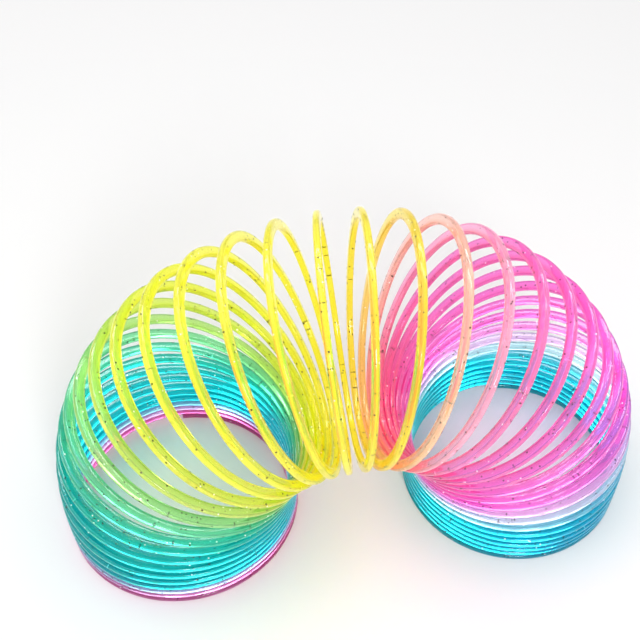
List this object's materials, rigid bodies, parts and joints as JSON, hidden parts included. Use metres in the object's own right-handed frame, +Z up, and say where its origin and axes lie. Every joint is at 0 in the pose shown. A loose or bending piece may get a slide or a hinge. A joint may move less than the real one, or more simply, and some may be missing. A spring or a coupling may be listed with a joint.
{
  "type": "spring coil toy",
  "caption": "Helical coil toy of one flat plastic strip, standing as an arch on both ends, its turns fanned open at the crown.",
  "frame": {"origin": "on the floor under the middle of the arch", "axes": "+X from the left foot to the right foot, +Y across the arch to its back, +Z up"},
  "size_m": [0.1618, 0.065, 0.0965],
  "materials": {
    "rose": "translucent, glossy, with fine glitter moulded in",
    "lavender": "translucent, glossy, with fine glitter moulded in",
    "cyan": "translucent, glossy, with fine glitter moulded in",
    "teal": "translucent, glossy, with fine glitter moulded in",
    "green": "translucent, glossy, with fine glitter moulded in",
    "lime": "translucent, glossy, with fine glitter moulded in",
    "yellow": "translucent, glossy, with fine glitter moulded in",
    "amber": "translucent, glossy, with fine glitter moulded in",
    "peach": "translucent, glossy, with fine glitter moulded in",
    "coral": "translucent, glossy, with fine glitter moulded in",
    "magenta": "translucent, glossy, with fine glitter moulded in",
    "lilac": "translucent, glossy, with fine glitter moulded in",
    "aqua": "translucent, glossy, with fine glitter moulded in"
  },
  "bodies": {
    "left_foot": {"turn_01": "rose", "turn_02": "rose", "turn_03": "lavender"},
    "turn_04": {"turn_04": "cyan"},
    "turn_05": {"turn_05": "cyan"},
    "turn_06": {"turn_06": "cyan"},
    "turn_07": {"turn_07": "cyan"},
    "turn_08": {"turn_08": "cyan"},
    "turn_09": {"turn_09": "teal"},
    "turn_10": {"turn_10": "teal"},
    "turn_11": {"turn_11": "green"},
    "turn_12": {"turn_12": "green"},
    "turn_13": {"turn_13": "lime"},
    "turn_14": {"turn_14": "yellow"},
    "turn_15": {"turn_15": "yellow"},
    "turn_16": {"turn_16": "yellow"},
    "turn_17": {"turn_17": "yellow"},
    "turn_18": {"turn_18": "yellow"},
    "turn_19": {"turn_19": "yellow"},
    "turn_20": {"turn_20": "yellow"},
    "turn_21": {"turn_21": "amber"},
    "turn_22": {"turn_22": "peach"},
    "turn_23": {"turn_23": "coral"},
    "turn_24": {"turn_24": "magenta"},
    "turn_25": {"turn_25": "magenta"},
    "turn_26": {"turn_26": "magenta"},
    "turn_27": {"turn_27": "magenta"},
    "turn_28": {"turn_28": "magenta"},
    "turn_29": {"turn_29": "magenta"},
    "turn_30": {"turn_30": "magenta"},
    "turn_31": {"turn_31": "lilac"},
    "turn_32": {"turn_32": "lilac"},
    "turn_33": {"turn_33": "aqua"},
    "turn_34": {"turn_34": "aqua"},
    "turn_35": {"turn_35": "aqua"},
    "turn_36": {"turn_36": "aqua"},
    "right_foot": {"turn_37": "aqua", "turn_38": "aqua", "turn_39": "aqua"}
  },
  "joints": [
    {"name": "fold_04", "type": "hinge", "parent": "left_foot", "child": "turn_04", "pos_m": [-0.0159, 0, 0.00699], "axis": [0, -1, 0], "range_deg": [0, 0.582]},
    {"name": "fold_05", "type": "hinge", "parent": "turn_04", "child": "turn_05", "pos_m": [-0.01587, 0, 0.00905], "axis": [0, -1, 0], "range_deg": [0, 1.25]},
    {"name": "fold_06", "type": "hinge", "parent": "turn_05", "child": "turn_06", "pos_m": [-0.0158, 0, 0.01111], "axis": [0, -1, 0], "range_deg": [0, 1.96]},
    {"name": "fold_07", "type": "hinge", "parent": "turn_06", "child": "turn_07", "pos_m": [-0.01565, 0, 0.01317], "axis": [0, -1, 0], "range_deg": [0, 2.67]},
    {"name": "fold_08", "type": "hinge", "parent": "turn_07", "child": "turn_08", "pos_m": [-0.01541, 0, 0.01522], "axis": [0, -1, 0], "range_deg": [0, 3.38]},
    {"name": "fold_09", "type": "hinge", "parent": "turn_08", "child": "turn_09", "pos_m": [-0.01505, 0, 0.01725], "axis": [0, -1, 0], "range_deg": [0, 4.08]},
    {"name": "fold_10", "type": "hinge", "parent": "turn_09", "child": "turn_10", "pos_m": [-0.01456, 0, 0.01924], "axis": [0, -1, 0], "range_deg": [0, 4.75]},
    {"name": "fold_11", "type": "hinge", "parent": "turn_10", "child": "turn_11", "pos_m": [-0.01391, 0, 0.02113], "axis": [0, -1, 0], "range_deg": [0, 5.38]},
    {"name": "fold_12", "type": "hinge", "parent": "turn_11", "child": "turn_12", "pos_m": [-0.0131, 0, 0.02295], "axis": [0, -1, 0], "range_deg": [0, 5.97]},
    {"name": "fold_13", "type": "hinge", "parent": "turn_12", "child": "turn_13", "pos_m": [-0.01209, 0, 0.02468], "axis": [0, -1, 0], "range_deg": [0, 6.52]},
    {"name": "fold_14", "type": "hinge", "parent": "turn_13", "child": "turn_14", "pos_m": [-0.0109, 0, 0.02629], "axis": [0, -1, 0], "range_deg": [0, 7]},
    {"name": "fold_15", "type": "hinge", "parent": "turn_14", "child": "turn_15", "pos_m": [-0.00952, 0, 0.02773], "axis": [0, -1, 0], "range_deg": [0, 7.43]},
    {"name": "fold_16", "type": "hinge", "parent": "turn_15", "child": "turn_16", "pos_m": [-0.00797, 0, 0.02899], "axis": [0, -1, 0], "range_deg": [0, 7.79]},
    {"name": "fold_17", "type": "hinge", "parent": "turn_16", "child": "turn_17", "pos_m": [-0.00626, 0, 0.03002], "axis": [0, -1, 0], "range_deg": [0, 8.08]},
    {"name": "fold_18", "type": "hinge", "parent": "turn_17", "child": "turn_18", "pos_m": [-0.00442, 0, 0.0308], "axis": [0, -1, 0], "range_deg": [0, 8.29]},
    {"name": "fold_19", "type": "hinge", "parent": "turn_18", "child": "turn_19", "pos_m": [-0.00249, 0, 0.03132], "axis": [0, -1, 0], "range_deg": [0, 8.43]},
    {"name": "fold_20", "type": "hinge", "parent": "turn_19", "child": "turn_20", "pos_m": [-0.0005, 0, 0.03154], "axis": [0, -1, 0], "range_deg": [0, 8.49]},
    {"name": "fold_21", "type": "hinge", "parent": "turn_20", "child": "turn_21", "pos_m": [0.0015, 0, 0.03146], "axis": [0, -1, 0], "range_deg": [0, 8.47]},
    {"name": "fold_22", "type": "hinge", "parent": "turn_21", "child": "turn_22", "pos_m": [0.00346, 0, 0.0311], "axis": [0, -1, 0], "range_deg": [0, 8.37]},
    {"name": "fold_23", "type": "hinge", "parent": "turn_22", "child": "turn_23", "pos_m": [0.00535, 0, 0.03045], "axis": [0, -1, 0], "range_deg": [0, 8.19]},
    {"name": "fold_24", "type": "hinge", "parent": "turn_23", "child": "turn_24", "pos_m": [0.00713, 0, 0.02953], "axis": [0, -1, 0], "range_deg": [0, 7.94]},
    {"name": "fold_25", "type": "hinge", "parent": "turn_24", "child": "turn_25", "pos_m": [0.00877, 0, 0.02839], "axis": [0, -1, 0], "range_deg": [0, 7.62]},
    {"name": "fold_26", "type": "hinge", "parent": "turn_25", "child": "turn_26", "pos_m": [0.01023, 0, 0.02703], "axis": [0, -1, 0], "range_deg": [0, 7.23]},
    {"name": "fold_27", "type": "hinge", "parent": "turn_26", "child": "turn_27", "pos_m": [0.01152, 0, 0.0255], "axis": [0, -1, 0], "range_deg": [0, 6.77]},
    {"name": "fold_28", "type": "hinge", "parent": "turn_27", "child": "turn_28", "pos_m": [0.01262, 0, 0.02383], "axis": [0, -1, 0], "range_deg": [0, 6.25]},
    {"name": "fold_29", "type": "hinge", "parent": "turn_28", "child": "turn_29", "pos_m": [0.01353, 0, 0.02205], "axis": [0, -1, 0], "range_deg": [0, 5.68]},
    {"name": "fold_30", "type": "hinge", "parent": "turn_29", "child": "turn_30", "pos_m": [0.01426, 0, 0.02019], "axis": [0, -1, 0], "range_deg": [0, 5.07]},
    {"name": "fold_31", "type": "hinge", "parent": "turn_30", "child": "turn_31", "pos_m": [0.01483, 0, 0.01823], "axis": [0, -1, 0], "range_deg": [0, 4.42]},
    {"name": "fold_32", "type": "hinge", "parent": "turn_31", "child": "turn_32", "pos_m": [0.01528, 0, 0.01608], "axis": [0, -1, 0], "range_deg": [0, 3.73]},
    {"name": "fold_33", "type": "hinge", "parent": "turn_32", "child": "turn_33", "pos_m": [0.01558, 0, 0.01392], "axis": [0, -1, 0], "range_deg": [0, 3.03]},
    {"name": "fold_34", "type": "hinge", "parent": "turn_33", "child": "turn_34", "pos_m": [0.01576, 0, 0.01174], "axis": [0, -1, 0], "range_deg": [0, 2.31]},
    {"name": "fold_35", "type": "hinge", "parent": "turn_34", "child": "turn_35", "pos_m": [0.01586, 0, 0.00955], "axis": [0, -1, 0], "range_deg": [0, 1.6]},
    {"name": "fold_36", "type": "hinge", "parent": "turn_35", "child": "turn_36", "pos_m": [0.01589, 0, 0.00737], "axis": [0, -1, 0], "range_deg": [0, 0.912]},
    {"name": "fold_37", "type": "hinge", "parent": "turn_36", "child": "right_foot", "pos_m": [0.0159, 0, 0.00518], "axis": [0, -1, 0], "range_deg": [0, 0.273]}
  ],
  "couplings": [
    {"joint": "fold_04", "follows": "fold_20", "ratio": 0.06858},
    {"joint": "fold_05", "follows": "fold_20", "ratio": 0.14777},
    {"joint": "fold_06", "follows": "fold_20", "ratio": 0.23073},
    {"joint": "fold_07", "follows": "fold_20", "ratio": 0.31487},
    {"joint": "fold_08", "follows": "fold_20", "ratio": 0.39865},
    {"joint": "fold_09", "follows": "fold_20", "ratio": 0.48055},
    {"joint": "fold_10", "follows": "fold_20", "ratio": 0.55939},
    {"joint": "fold_11", "follows": "fold_20", "ratio": 0.63422},
    {"joint": "fold_12", "follows": "fold_20", "ratio": 0.7041},
    {"joint": "fold_13", "follows": "fold_20", "ratio": 0.76808},
    {"joint": "fold_14", "follows": "fold_20", "ratio": 0.82547},
    {"joint": "fold_15", "follows": "fold_20", "ratio": 0.87555},
    {"joint": "fold_16", "follows": "fold_20", "ratio": 0.91786},
    {"joint": "fold_17", "follows": "fold_20", "ratio": 0.95168},
    {"joint": "fold_18", "follows": "fold_20", "ratio": 0.9769},
    {"joint": "fold_19", "follows": "fold_20", "ratio": 0.99304},
    {"joint": "fold_22", "follows": "fold_21", "ratio": 0.9883},
    {"joint": "fold_23", "follows": "fold_21", "ratio": 0.96763},
    {"joint": "fold_24", "follows": "fold_21", "ratio": 0.93799},
    {"joint": "fold_25", "follows": "fold_21", "ratio": 0.89972},
    {"joint": "fold_26", "follows": "fold_21", "ratio": 0.85343},
    {"joint": "fold_27", "follows": "fold_21", "ratio": 0.79945},
    {"joint": "fold_28", "follows": "fold_21", "ratio": 0.73851},
    {"joint": "fold_29", "follows": "fold_21", "ratio": 0.67131},
    {"joint": "fold_30", "follows": "fold_21", "ratio": 0.59867},
    {"joint": "fold_31", "follows": "fold_21", "ratio": 0.52155},
    {"joint": "fold_32", "follows": "fold_21", "ratio": 0.44088},
    {"joint": "fold_33", "follows": "fold_21", "ratio": 0.35774},
    {"joint": "fold_34", "follows": "fold_21", "ratio": 0.27341},
    {"joint": "fold_35", "follows": "fold_21", "ratio": 0.18932},
    {"joint": "fold_36", "follows": "fold_21", "ratio": 0.10771},
    {"joint": "fold_37", "follows": "fold_21", "ratio": 0.03224}
  ]
}
